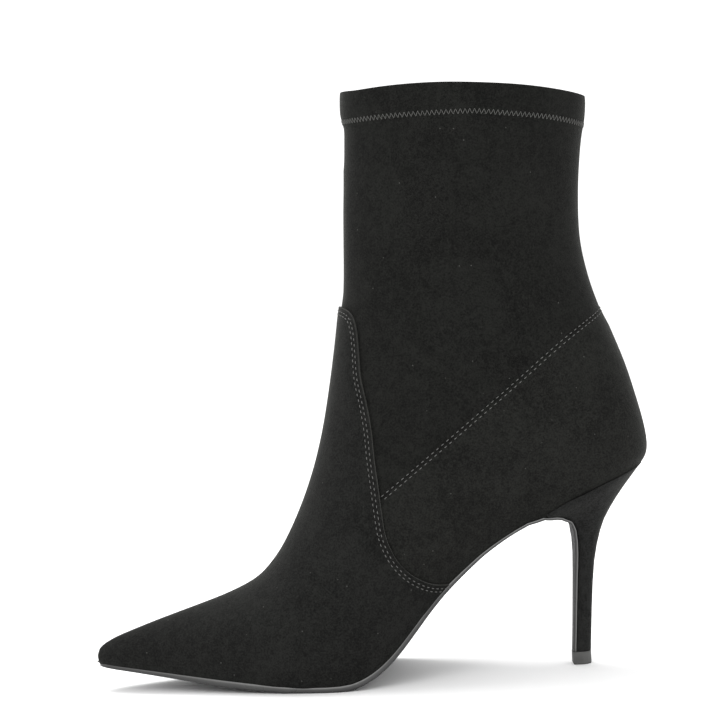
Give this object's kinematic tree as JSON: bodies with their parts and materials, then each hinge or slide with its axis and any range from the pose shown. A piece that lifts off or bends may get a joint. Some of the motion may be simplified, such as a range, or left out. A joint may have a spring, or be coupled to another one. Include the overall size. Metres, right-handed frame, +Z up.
{
  "type": "stiletto ankle bootie",
  "caption": "Pointed-toe pull-on ankle bootie in black suede with a lapped vamp, a flared counter, a folded cuff and a slim high stiletto heel; one right shoe.",
  "frame": {"origin": "on the floor, under the middle of the shoe's length and width", "axes": "+Z up, -X towards the toe, -Y towards the medial side, which is the side with the arch's higher waist; +Y towards the lateral side"},
  "size_m": [0.2454, 0.0793, 0.2563],
  "materials": {
    "upper_suede": "black suede, matt with a short nap",
    "vamp_suede": "black suede, matt with a short nap",
    "quarter_suede": "black suede, matt with a short nap",
    "heel_suede": "black suede stretched over a moulded heel",
    "sole_leather": "black leather, smooth and slightly glossy, with an inked edge",
    "insole_sock": "plain dark sock leather",
    "top_piece_rubber": "dark grey rubber, matt"
  },
  "bodies": {
    "root": {"upper": "upper_suede", "vamp": "vamp_suede", "quarter": "quarter_suede", "insole": "insole_sock", "outsole": "sole_leather", "heel": "heel_suede", "top_piece": "top_piece_rubber"}
  },
  "joints": []
}
